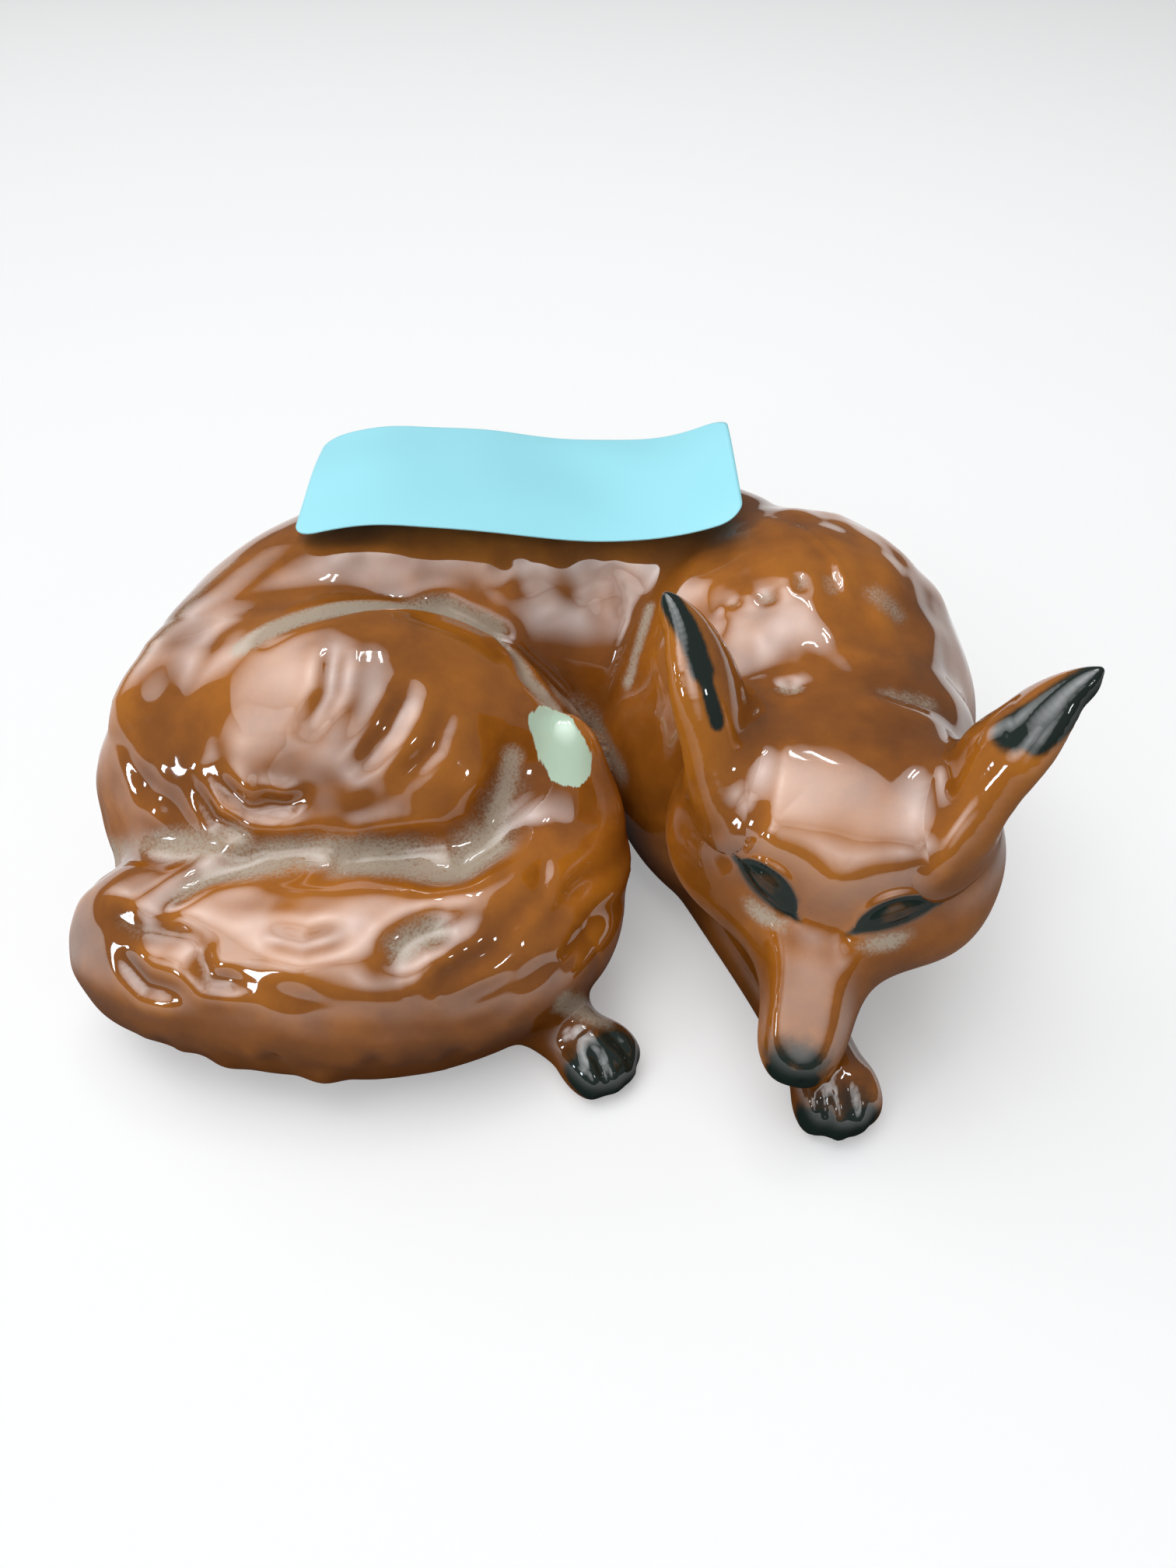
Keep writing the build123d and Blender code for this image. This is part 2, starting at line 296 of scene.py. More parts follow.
def hump(value, width):
    """A soft hump, 1 at zero and gone at about twice the width."""
    return np.exp(-((value / width) ** 2))


def grain(points, seed):
    """Smooth noise from about -1 to 1 at points that are given in cells."""
    cell = np.floor(points).astype(np.int64)
    part = points - cell
    soft = part**3 * (part * (part * 6 - 15) + 10)
    total = np.zeros(len(points))
    for corner in np.ndindex(2, 2, 2):
        at = (cell + corner).astype(np.uint32)
        mixed = at[:, 0] * np.uint32(73856093) ^ at[:, 1] * np.uint32(19349663)
        mixed ^= at[:, 2] * np.uint32(83492791) ^ np.uint32(seed * 7919 + 17)
        weight = np.ones(len(points))
        slope = np.zeros(len(points))
        for axis in range(3):
            mixed = (mixed ^ (mixed >> np.uint32(15))) * np.uint32(2246822519)
            mixed ^= mixed >> np.uint32(13)
            lean = mixed.astype(float) / 2**31 - 1
            slope += lean * (part[:, axis] - corner[axis])
            weight *= soft[:, axis] if corner[axis] else 1 - soft[:, axis]
        total += weight * slope
    return total * 1.6


def fur(cells, seed, soft, fine, ratio):
    """Locks of fur with finer ones on them, at points that are given in cells."""
    return np.sqrt(grain(cells, seed) ** 2 + soft) + fine * grain(cells * ratio, seed + 1)


def along_line(points, line):
    """How far points lie from a run of straight pieces, along it as a share, and beside it in plan."""
    line = np.asarray(line, float)
    best = np.full(len(points), np.inf)
    along = np.zeros(len(points))
    side = np.zeros(len(points))
    start = 0.0
    for a, b in zip(line[:-1], line[1:]):
        run = np.linalg.norm(b - a)
        share = np.clip(((points - a) @ (b - a)) / run**2, 0, 1)
        off = points - a - share[:, None] * (b - a)
        far = np.linalg.norm(off, axis=1)
        nearer = far < best
        best[nearer] = far[nearer]
        along[nearer] = start + share[nearer] * run
        if points.shape[1] == 2:
            side[nearer] = (off @ np.array((b[1] - a[1], a[0] - b[0])) / run)[nearer]
        start += run
    return best, along / start, side


def face_edges(faces):
    """The edges of four-sided faces, each in its face's turn."""
    return np.concatenate([faces[:, (i, (i + 1) % 4)] for i in range(4)])


class Skin:
    """A mesh of four-sided faces in millimetres, with the sums that modelling needs."""

    def __init__(self, points, faces):
        self.points, self.faces = points, faces
        self.edges = np.unique(np.sort(face_edges(faces), axis=1), axis=0)
        self.count = np.bincount(self.edges.ravel(), minlength=len(points))[:, None]

    def mean(self, values):
        """Each point's mean of its neighbours' values."""
        a, b = self.edges.T
        total = np.empty_like(values)
        for axis in range(values.shape[1]):
            column = values[:, axis]
            total[:, axis] = np.bincount(a, column[b], len(values))
            total[:, axis] += np.bincount(b, column[a], len(values))
        return total / self.count

    def soften(self, values, steps):
        """Rows of values, spread over the skin."""
        for _ in range(steps):
            values = 0.5 * values + 0.5 * self.mean(values)
        return values

    def normals(self):
        """The outward direction at each point."""
        a, b, c, d = (self.points[self.faces[:, i]] for i in range(4))
        across = np.cross(c - a, d - b)
        total = np.zeros_like(self.points)
        for i in range(4):
            for axis in range(3):
                total[:, axis] += np.bincount(
                    self.faces[:, i], across[:, axis], len(self.points)
                )
        return unit(total)

    def relax(self, steps, wear):
        """Fill hollow creases everywhere, and wear ridges by a share."""
        for _ in range(steps):
            pull = 0.5 * (self.mean(self.points) - self.points)
            out = self.normals()
            lift = np.sum(pull * out, axis=1)
            self.points = self.points + pull
            self.points -= ((1 - wear) * np.minimum(lift, 0))[:, None] * out

    def fill(self, weight, steps, wear=0.0):
        """Fill hollow creases where a weight says so, and wear ridges by a share."""
        faces = self.faces[(weight[self.faces] > 0).all(axis=1)]
        used, index = np.unique(faces, return_inverse=True)
        part = Skin(self.points[used], index.reshape(faces.shape))
        rate = 0.5 * weight[used][:, None]
        for _ in range(steps):
            pull = part.mean(part.points) - part.points
            out = part.normals()
            sunk = np.minimum(np.sum(pull * out, axis=1, keepdims=True), 0)
            part.points = part.points + rate * (pull - (1 - wear) * sunk * out)
        self.points = self.points.copy()
        self.points[used] = part.points

    def hollows(self, steps):
        """How deep each point lies below the skin around it."""
        level = self.soften(self.points, steps)
        return np.sum((level - self.points) * self.normals(), axis=1)

    def tree(self):
        """The skin as a search tree."""
        return BVHTree.FromPolygons(self.points.tolist(), self.faces.tolist())


def mesh_points(mesh):
    """A mesh's points as rows."""
    points = np.empty(len(mesh.vertices) * 3)
    mesh.vertices.foreach_get("co", points)
    return points.reshape(-1, 3)


def casting_mesh(name):
    """A casting's points in millimetres and its triangles."""
    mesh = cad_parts[name].data
    mesh.calc_loop_triangles()
    faces = np.empty(len(mesh.loop_triangles) * 3, np.int32)
    mesh.loop_triangles.foreach_get("vertices", faces)
    return mesh_points(mesh) * MM, faces.reshape(-1, 3)


def plug_mesh(centre, radius, height, sides=24):
    """A short bung that closes the drain while the castings are joined."""
    angles = np.linspace(0, 2 * math.pi, sides, endpoint=False)
    ring = np.c_[np.cos(angles) * radius, np.sin(angles) * radius] + centre
    points = np.r_[np.c_[ring, np.zeros(sides)], np.c_[ring, np.full(sides, height)]]
    points = np.r_[points, [(*centre, 0), (*centre, height)]]
    base, top = 2 * sides, 2 * sides + 1
    faces = []
    for i in range(sides):
        j = (i + 1) % sides
        over_i, over_j = i + sides, j + sides
        faces += [(i, j, over_j), (i, over_j, over_i), (j, i, base), (over_i, over_j, top)]
    return points, np.array(faces, np.int32)


def read_quads(mesh):
    """A mesh's points and its faces, all of them with four sides."""
    faces = np.empty(len(mesh.loops), np.int32)
    mesh.loops.foreach_get("vertex_index", faces)
    return mesh_points(mesh), faces.reshape(-1, 4)


def evaluated(mesh, kind, **settings):
    """A copy of a mesh after one modifier."""
    holder = bpy.data.objects.new("holder", mesh)
    bpy.context.collection.objects.link(holder)
    modifier = holder.modifiers.new("work", kind)
    for key, value in settings.items():
        setattr(modifier, key, value)
    graph = bpy.context.evaluated_depsgraph_get()
    result = bpy.data.meshes.new_from_object(holder.evaluated_get(graph))
    bpy.data.objects.remove(holder)
    return result


def largest(points, faces):
    """The largest connected sheet of a mesh."""
    label = np.arange(len(points))
    while True:
        low = label[faces].min(axis=1)
        fresh = label.copy()
        np.minimum.at(fresh, faces.ravel(), np.repeat(low, 4))
        fresh = fresh[fresh]
        if np.array_equal(fresh, label):
            break
        label = fresh
    kept = label == np.bincount(label[faces[:, 0]]).argmax()
    index = np.cumsum(kept) - 1
    return points[kept], index[faces[kept[faces[:, 0]]]]


class Sculpture:
    """The whole ornament as one worked skin, from which the castings are cut."""

    made = None

    @classmethod
    def get(cls, scene):
        """The one sculpture of this run."""
        if cls.made is None:
            cls.made = cls(scene)
        return cls.made

    def __init__(self, scene):
        self.clay, self.stage, self.face = scene.fox_clay, scene.fox_stage, scene.fox_face
        self.skin = self.join()
        self.skin.relax(self.clay.fill_steps, self.clay.ridge_wear)
        self.find_seams()
        self.bend_muzzle()
        self.blend_forms()
        self.sight_tree = self.skin.tree()
        self.paint = {}
        self.tool()
        self.skin.relax(*SMOOTHING["tool marks"])
        self.seat()
        self.find_dust()

    def join(self):
        """All castings as one closed skin, with their hollows filled."""
        points, faces, start = [], [], 0
        drain = np.array(self.clay.drain_at[:]) * MM
        bore = self.clay.drain_bore * MM
        bung = plug_mesh(drain, radius=bore * 0.6, height=3.0)
        for part in [casting_mesh(name) for name in CASTINGS] + [bung]:
            points.append(part[0])
            faces.append(part[1] + start)
            start += len(part[0])
        mesh = bpy.data.meshes.new("joined")
        mesh.from_pydata(np.concatenate(points).tolist(), [], np.concatenate(faces).tolist())
        voxel = self.clay.grain_size * MM * 1
        result = evaluated(mesh, "REMESH", mode="VOXEL", voxel_size=voxel)
        skin = Skin(*largest(*read_quads(result)))
        bpy.data.meshes.remove(mesh)
        bpy.data.meshes.remove(result)
        return skin

    def find_seams(self):
        """How far each point lies past each casting's luted seams."""
        far = np.empty((len(self.skin.points), len(CASTINGS)))
        for column, name in enumerate(CASTINGS):
            points, faces = casting_mesh(name)
            tree = BVHTree.FromPolygons(points.tolist(), faces.tolist())
            far[:, column] = [tree.find_nearest(p)[3] for p in self.skin.points.tolist()]
        self.past = np.empty_like(far)
        for column in range(len(CASTINGS)):
            others = np.delete(far, column, axis=1).min(axis=1)
            self.past[:, column] = (far[:, column] - others) / 2

    def bend_muzzle(self):
        """Bend the muzzle, flatten the forehead and thicken the ears' tips."""
        points = self.skin.points
        across, up, _ = head_axes(self.face)
        aside, lift, far = head_place(self.face, points)
        crown = band("crown back", far) * band("crown front", far) * band("crown height", lift)
        crown *= self.face.brow_flat * band("crown sides", np.abs(aside))
        raised = crown * aside**2 / (2 * self.face.brow_round * MM)
        bend = self.face.nose_aside * MM * band("muzzle", far) * self.share("head_shell")
        ears = self.share("left_ear") + self.share("right_ear")
        swell = self.face.ear_swell * MM * ears * band("ear tips", points[:, 2])
        points = points + bend[:, None] * across + raised[:, None] * up
        self.skin.points = points + swell[:, None] * self.skin.normals()
        self.skin.fill(ears * band("ear height", points[:, 2]), *SMOOTHING["ears"])

    def blend_forms(self):
        """Let ears, neck, hip, brush tip and toes run into their neighbours, as in the photograph."""
        x, _, z = self.skin.points.T
        across, _, _ = head_axes(self.face)
        sideways = self.skin.normals() @ across
        weight = np.zeros(len(x))
        for name, side in (("left_ear", 1), ("right_ear", -1)):
            root = band("ear seam", np.abs(self.beyond(name)))
            weight = np.maximum(weight, root * band("ear inside", side * sideways))
        hip = band("hip seam", np.abs(self.beyond("haunch_shell")))
        hip *= band("hip across", x) * band("hip height", z)
        tip = band("tip seam", np.abs(self.beyond("tail")))
        tip *= np.maximum(band("tip height", z), band("tip across", x))
        toes = np.maximum(self.share("foreleg"), self.share("hind_paw"))
        nape = band("nape seam", np.abs(self.beyond("head_shell")))
        nape = np.maximum(nape, self.share("forequarter_shell"))
        nape *= band("nape height", z) * band("nape across", x)
        for more in (hip, tip, 0.8 * nape, 0.7 * toes):
            weight = np.maximum(weight, more)
        self.skin.fill(weight, self.clay.blend_steps // (1))
        for name in ("foreleg", "hind_paw"):
            self.skin.fill(self.share(name), *SMOOTHING["paws"])

    def beyond(self, name):
        """How far each point lies past one casting's seams."""
        return self.past[:, CASTINGS.index(name)]

    def share(self, name):
        """1 on a casting, 0 off it, and a soft change at its seams."""
        return ease(SEAM_SOFT, -SEAM_SOFT, self.beyond(name))

    def seen(self, *pixels):
        """The places on the skin that pixels of the photograph's frame show."""
        eye, right, up, ahead = camera_axes(self.stage)
        reach = self.stage.lens / self.stage.sensor * PHOTO_HIGH
        places = []
        for x, y in pixels:
            ray = ahead * reach + right * (x - PHOTO_WIDE / 2) - up * (y - PHOTO_HIGH / 2)
            hit = self.sight_tree.ray_cast(eye.tolist(), unit(ray).tolist())[0]
            if hit is None:
                nearest = np.argmax(unit(self.skin.points - eye) @ unit(ray))
                hit = self.skin.points[nearest]
            places.append(hit)
        return np.array(places)

    def tool(self):
        """Work lumps, locks of fur and tool marks into the clay, and paint it."""
        points, out = self.skin.points, self.skin.normals()
        move = self.lumps() + self.brush_locks() + self.haunch_locks() + self.ruff_ripples()
        for layer in ("dust", "ink", "smoke", "cream"):
            self.paint[layer] = np.zeros(len(points))
        self.mark(move)
        self.paint_marks()
        self.skin.points = points + move[:, None] * out
        tip, _, _ = along_line(points, self.seen(*BRUSH_TIP))
        self.skin.fill(band("brush tip", tip), *SMOOTHING["brush tip"])

    def lumps(self):
        """The uneven clay of the trunk and the brush."""
        head = self.share("head_shell") + self.share("left_ear") + self.share("right_ear")
        paws = self.share("foreleg") + self.share("hind_paw")
        plain = np.clip(1 - head - paws, 0, 1)
        cells = self.skin.points / (self.clay.lump_size * MM)
        return self.clay.lump_depth * MM * plain * grain(cells, 1)

    def brush_locks(self):
        """Locks that run along the brush and bend with it."""
        points = self.skin.points
        _, along, side = along_line(points[:, :2], BRUSH_LINE)
        (long, wide), (amount, distance) = BRUSH_LOCK, BRUSH_SWAY
        sway = grain(points / distance, 2) * amount
        cells = np.c_[along * BRUSH_LENGTH / long, (side + sway) / wide, (points[:, 2] + sway) / wide]
        locks = fur(cells, seed=3, soft=0.02, fine=0.25, ratio=2.1)
        return self.clay.brush_depth * MM * self.share("tail") * (locks - 0.35)

    def haunch_locks(self):
        """Shorter locks that fall over the haunch towards the brush."""
        points = self.skin.points
        fall = unit(HAUNCH_FALL)
        level = unit(np.cross(fall, HAUNCH_FACING))
        over = np.cross(level, fall)
        (long, wide), (amount, distance) = HAUNCH_LOCK, HAUNCH_SWAY
        sway = grain(points / distance, 5) * amount
        cells = np.c_[points @ fall / long, (points @ level + sway) / wide, points @ over / wide]
        locks = fur(cells, seed=6, soft=0.03, fine=0.3, ratio=1.9)
        smooth_top = band("low haunch", points[:, 2]) * 0.8 + 0.2
        return self.clay.haunch_depth * MM * self.share("haunch_shell") * smooth_top * (locks - 0.3)

    def ruff_ripples(self):
        """Short ripples across the shoulder."""
        points = self.skin.points
        ruff = self.share("forequarter_shell") * band("ruff height", points[:, 2])
        return self.clay.ruff_depth * MM * ruff * grain(points / RUFF_RIPPLE, 8)

    def mark(self, move):
        """Press the tool marks: a groove with a burr beside it, or a ridge if its depth is negative."""
        for pixels, width, depth, dusty in TOOL_MARKS:
            far, along, _ = along_line(self.skin.points, self.seen(*pixels))
            taper = np.clip(4 * along * (1 - along) + END_DEPTH, 0, 1)
            move -= depth * taper * hump(far, width)
            move += BURR_RISE * depth * taper * hump(far - BURR_AWAY * width, width)
            mark = dusty * taper * hump(far, width * DUST_SPREAD)
            self.paint["dust"] = np.maximum(self.paint["dust"], mark)

    def paint_marks(self):
        """Paint the dark points, the cream tip, the dusty creases and a painted highlight on the back's left
        rim.
        """
        for layer, pixels, width, strength in PAINT_MARKS:
            far, _, _ = along_line(self.skin.points, self.seen(*pixels))
            outer, inner = MARK_EDGES[layer]
            mark = strength * ease(outer * width, inner * width, far)
            self.paint[layer] = np.maximum(self.paint[layer], mark)
        self.paint["ink"] = np.maximum(self.paint["ink"], self.paint.pop("smoke"))
        self.paint["cream"] *= band("cream seam", self.beyond("tail"))

    def seat(self):
        """Flatten the foot and sink the drain into it."""
        points = self.skin.points
        foot = points[:, 2] < FOOT_REACH
        points[foot, 2] = 0.0
        points[:, 2] = np.maximum(points[:, 2], 0.0)
        drain = np.array(self.clay.drain_at[:]) * MM
        off = np.linalg.norm(points[:, :2] - drain, axis=1)
        bore = self.clay.drain_bore * MM / 2
        sunk = foot & (off < bore)
        points[sunk, 2] = DRAIN_DEPTH * ease(bore, bore - DRAIN_LIP, off[sunk])
        self.paint["bare"] = foot * band("bare foot", points[:, 2])
        self.paint["bare"] = np.maximum(self.paint["bare"], sunk)

    def find_dust(self):
        """Pale dust gathers in hollows, which also get painted shade as thick glaze, and glaze runs off
        steep sides.
        """
        small, large = self.skin.hollows(steps=12), self.skin.hollows(steps=60)
        # Painted shade for the glaze: how deep each place lies in a broad hollow, below zero on ridges.
        level = self.skin.soften(large[:, None], steps=4)[:, 0]
        self.paint["hollow"] = np.clip(level / FULL_SHADE_HOLLOW, -1, 1)
        crease = band("small hollow", small) * SMALL_DUST + band("large hollow", large) * LARGE_DUST
        self.paint["dust"] = np.clip(np.maximum(self.paint["dust"], crease), 0, 1)
        steep = band("steep side", self.skin.normals()[:, 2:])
        self.paint["steep"] = self.skin.soften(steep, steps=6)[:, 0]


def camera_axes(stage):
    """The photograph's camera: its place in millimetres and its right, up and ahead."""
    tilt = stage.camera_tilt
    back = np.array((0.0, -math.cos(tilt), math.sin(tilt)))
    right = np.array((1.0, 0.0, 0.0))
    eye = np.array(stage.target[:]) * MM + back * stage.camera_far * MM
    return eye, right, np.cross(back, right), -back


def head_axes(face):
    """The head's directions: across to its left, up, and ahead to the nose."""
    turn, drop, roll = face.turn, face.drop, face.roll
    across = np.array((math.cos(turn), -math.sin(turn), 0.0))
    level = math.cos(drop)
    ahead = np.array((-math.sin(turn) * level, -math.cos(turn) * level, -math.sin(drop)))
    up = np.cross(ahead, across)
    tilted = math.cos(roll) * across + math.sin(roll) * up
    return tilted, np.cross(ahead, tilted), ahead


def head_place(face, points):
    """How far points lie to the left of the head's axis, above it and along it."""
    place = points - np.array(face.poll[:]) * MM
    return [place @ axis for axis in head_axes(face)]


def cut_casting(sculpture, name, fine):
    """One casting's skin with a sunk rim under its neighbours: points, faces, paint."""
    skin = sculpture.skin
    past = sculpture.beyond(name)
    overlap = sculpture.clay.seam_overlap * MM
    faces = skin.faces[(past[skin.faces] < overlap).all(axis=1)]
    used, index = np.unique(faces, return_inverse=True)
    faces = index.reshape(faces.shape)
    sink = np.maximum(past[used], 0) ** 2 / overlap
    points = skin.points[used] - sink[:, None] * skin.normals()[used]
    paint = {key: value[used] for key, value in sculpture.paint.items()}
    mesh = bpy.data.meshes.new(name + "_cut")
    mesh.from_pydata(points.tolist(), [], faces.tolist())
    if not fine:
        return mesh, paint
    for key, value in paint.items():
        mesh.attributes.new(key, "FLOAT", "POINT").data.foreach_set("value", value)
    finer = evaluated(mesh, "SUBSURF", levels=1, render_levels=1)
    bpy.data.meshes.remove(mesh)
    for key in paint:
        paint[key] = np.empty(len(finer.vertices))
        finer.attributes[key].data.foreach_get("value", paint[key])
    return finer, paint


def close_rims(points, faces):
    """Close a cut skin with a fan inside each open rim."""
    edges = face_edges(faces)
    key = np.sort(edges, axis=1)
    _, first, times = np.unique(key, axis=0, return_index=True, return_counts=True)
    rim = edges[first[times == 1]]
    follow = {}
    for a, b in rim.tolist():
        follow.setdefault(a, []).append(b)
    fans, centres = [], []
    while follow:
        start = next(iter(follow))
        loop, here = [], start
        while here in follow:
            there = follow[here].pop()
            if not follow[here]:
                del follow[here]
            loop.append((here, there))
            here = there
        centre = len(points) + len(centres)
        centres.append(points[[a for a, _ in loop]].mean(axis=0))
        fans += [(b, a, centre) for a, b in loop]
    if centres:
        points = np.concatenate([points, centres])
    return points, faces.tolist() + fans


def make_casting(context, name, fine=False, work=None):
    """Build a casting's glazed piece, which stands for the frame's node."""
    sculpture = Sculpture.get(context.scene)
    mesh, paint = cut_casting(sculpture, name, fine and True)
    points, faces = read_quads(mesh)
    bpy.data.meshes.remove(mesh)
    if work:
        skin = Skin(points, faces)
        work(sculpture, skin, paint)
        points = skin.points
    count = len(points)
    points, faces = close_rims(points, faces)
    mesh = bpy.data.meshes.new("glazed_" + name)
    mesh.from_pydata((points / MM).tolist(), [], faces)
    for key in ("dust", "hollow", "bare", "steep", "ink", "cream", "eye"):
        value = np.zeros(len(points))
        value[:count] = paint.get(key, 0.0)
        mesh.attributes.new(key, "FLOAT", "POINT").data.foreach_set("value", value)
    mesh.polygons.foreach_set("use_smooth", np.ones(len(mesh.polygons), bool))
    mesh.materials.append(glaze(context.scene.fox_colours))
    piece = bpy.data.objects.new("glazed_" + name, mesh)
    context.collection.objects.link(piece)
    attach(piece, "root")
    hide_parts(name)


def work_eye(sculpture, points, pixels):
    """One eye: how the clay moves, and where ink, painted shade, eyeball and pale smudge go."""
    inner, outer, top, bottom = sculpture.seen(*pixels)
    centre, half = (inner + outer) / 2, np.linalg.norm(outer - inner) / 2
    along = unit(outer - inner)
    face = unit(np.cross(along, top - bottom))
    face *= np.sign(face[2])
    rise = np.cross(face, along)
    rise *= np.sign(rise @ (top - bottom))
    sideways = (points - centre) @ along / half
    height = (points - centre) @ rise
    near = np.abs((points - centre) @ face) < EYE_REACH
    arch = np.clip(1 - sideways**2, 0, 1) ** 0.7
    above = height - (top - centre) @ rise * arch
    below = (bottom - centre) @ rise * arch - height
    past = np.maximum(np.abs(sideways) - 1, 0) * half
    gap = np.hypot(np.maximum(np.maximum(above, below), 0), past)
    inside = np.where(gap == 0, np.minimum(-above, -below), 0)
    upper = above > below

    # The clay: a socket, an eyeball that leans under the upper lid, the lids and the brow
    move = -SOCKET_DEPTH * hump(gap, SOCKET_WIDTH)
    lean = np.clip((height - (bottom - centre) @ rise) / ((top - bottom) @ rise), 0, 1)
    move += band("eyeball", inside) * (EYEBALL_RISE - EYEBALL_RISE * lean) * hump(sideways, 0.7)
    move += np.where(upper, UPPER_LID, LOWER_LID) * hump(gap - 0.5, LID_WIDTH) * hump(sideways, 1.0)
    move += BROW_RISE * hump(above - BROW_ABOVE, BROW_WIDTH) * hump(sideways - 0.1, 1.1)

    # The paint: dark lids that run out into a line, painted shade on the eyeball under the upper lid,
    # painted shade round the lids, and a pale smudge below
    edge = np.hypot(np.maximum(above, below), past)
    line = hump(height + 0.2, 0.6) * (gap < 2.5)
    line *= band("inner corner", sideways) * band("outer corner", sideways)
    lids = hump(edge, 0.5) * np.where(upper, 1.0, 0.8)
    shade = (gap == 0) * (0.7 + 0.3 * lean**2 - 0.25 * hump(sideways - 0.05, 0.35))
    ink = np.maximum.reduce([lids, 0.8 * line, shade, 0.4 * band("lid shade", gap)])
    smudge = hump(below - 2.0, 1.4) * hump(sideways + 0.45, 0.7)
    return near * move, near * ink, near * band("eye paint", gap), near * smudge


def work_head(sculpture, skin, paint):
    """Model the eyes, brows, nose and mouth, and paint them."""
    points, out, face = skin.points, skin.normals(), sculpture.face
    _, up, _ = head_axes(face)
    aside, lift, far = head_place(face, points)
    move = np.zeros(len(points))
    ball = np.zeros(len(points))
    ink, dust = paint["ink"], paint["dust"] * 0.6
    for pixels in EYES:
        moved, inked_and_shaded, round_eye, smudge = work_eye(sculpture, points, pixels)
        move += moved
        ink = np.maximum(ink, inked_and_shaded)
        ball = np.maximum(ball, round_eye)
        dust = np.maximum(dust, 0.9 * smudge)

    # The muzzle: a flat bridge that narrows to the nose, the nostrils and the line of the mouth
    aside = aside - face.nose_aside * MM * band("muzzle", far)
    level = np.interp(far, BRIDGE_ENDS, (face.bridge_back * MM, face.bridge_front * MM))
    bridge = band("bridge back", far) * band("bridge front", far) * band("bridge height", lift)
    narrow = np.interp(far, NOSE_TAPER, (1.0, 0.7))
    bridge *= band("bridge sides", np.abs(aside - BRIDGE_ASIDE) / narrow)
    press = bridge * (level - lift)
    for side in (-1, 1):
        nostril = np.hypot(aside - side * NOSTRIL_ASIDE, lift - NOSTRIL_UP)
        move -= LINE_DEPTH * hump(nostril, NOSTRIL_WIDTH) * band("nostrils", far)
    mouth = hump(lift + MOUTH_DOWN, MOUTH_WIDTH) * band("mouth back", far) * band("mouth front", far)
    move -= LINE_DEPTH * mouth
    paint.update(ink=ink, eye=ball, dust=dust)
    skin.points = points + press[:, None] * up
    skin.fill(band("smooth face", far), *SMOOTHING["face"])
    skin.points += move[:, None] * out


def make_sticker(context):
    """Build the sticker: thin paper with round corners that lies where its node does."""
    paper_size = context.scene.fox_paper
    low, high = (np.array(corner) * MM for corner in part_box("sticker"))
    middle, half = (low + high)[:2] / 2, (high - low)[:2] / 2
    corner, thick = paper_size.corner * MM, paper_size.thickness * MM
    points, faces = casting_mesh("sticker")
    tree = BVHTree.FromPolygons(points.tolist(), faces.tolist())
    share = np.linspace(-1, 1, PAPER_ROWS)
    rows = half[1] * share * (1 + PAPER_CROWD - PAPER_CROWD * share**2)
    inset = np.clip(np.abs(rows) - (half[1] - corner), 0, corner)
    reach = half[0] - corner + np.sqrt(np.maximum(corner**2 - inset**2, 0.01))
    columns = np.linspace(-1, 1, PAPER_COLUMNS)
    x = middle[0] + reach[:, None] * columns
    y = middle[1] + np.repeat(rows[:, None], len(columns), axis=1)
    flat = np.c_[x.ravel(), y.ravel()]
    within = middle + (flat - middle) * 0.99
    over = high[2] + 9
    z = np.array([tree.ray_cast((a, b, over), (0, 0, -1))[0].z for a, b in within])
    ripple = grain(np.c_[flat / PAPER_WAVE, np.zeros(len(flat))], 9)
    z += paper_size.ripple * MM * ripple
    top = np.c_[flat, z]
    wide, deep = len(columns), len(rows)
    at = np.arange(wide * deep).reshape(deep, wide)
    quads = np.stack([at[:-1, :-1], at[:-1, 1:], at[1:, 1:], at[1:, :-1]], axis=-1).reshape(-1, 4)
    rim = np.concatenate([at[0, :-1], at[:-1, -1], at[-1, :0:-1], at[:0:-1, 0]])
    after = np.roll(rim, -1)
    under = wide * deep
    sides = np.stack([after, rim, rim + under, after + under], axis=1)
    points = np.concatenate([top, top - (0, 0, thick)])
    faces = np.concatenate([quads, quads[:, ::-1] + under, sides])
    mesh = bpy.data.meshes.new("bare_sticker")
    mesh.from_pydata((points / MM).tolist(), [], faces.tolist())
    mesh.polygons.foreach_set("use_smooth", np.arange(len(faces)) < 2 * len(quads))
    mesh.materials.append(paper(context.scene.fox_colours))
    piece = bpy.data.objects.new("bare_sticker", mesh)
    context.collection.objects.link(piece)
    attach(piece, "root")
    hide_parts("sticker")


class Wire:
    """An output of a node tree. Sums written with it add Math nodes to the tree."""

    def __init__(self, tree, socket):
        self.tree, self.socket = tree, socket

    @classmethod
    def node(cls, tree, kind, settings=None, values=None, output=0):
        """Add a node, set it up, join its inputs and give one of its outputs."""
        made = tree.nodes.new(kind)
        for key, value in (settings or {}).items():
            setattr(made, key, value)
        for key, value in (values or {}).items():
            if isinstance(value, Wire):
                tree.links.new(value.socket, made.inputs[key])
            else:
                made.inputs[key].default_value = value
        return cls(tree, made.outputs[output]) if made.outputs else made

    def sum(self, operation, first, second):
        """A Math node on two values."""
        values = {0: first, 1: second}
        return Wire.node(self.tree, "ShaderNodeMath", {"operation": operation}, values)

    def __add__(self, other):
        return self.sum("ADD", self, other)

    def __radd__(self, other):
        return self.sum("ADD", other, self)

    def __sub__(self, other):
        return self.sum("SUBTRACT", self, other)

    def __rsub__(self, other):
        return self.sum("SUBTRACT", other, self)

    def __mul__(self, other):
        return self.sum("MULTIPLY", self, other)

    def __rmul__(self, other):
        return self.sum("MULTIPLY", other, self)

    def clip(self, low, high):
        """The value from 0 at low to 1 at high, softly."""
        values = {"Value": self, "From Min": low, "From Max": high}
        return Wire.node(self.tree, "ShaderNodeMapRange", {"interpolation_type": "SMOOTHSTEP"}, values)


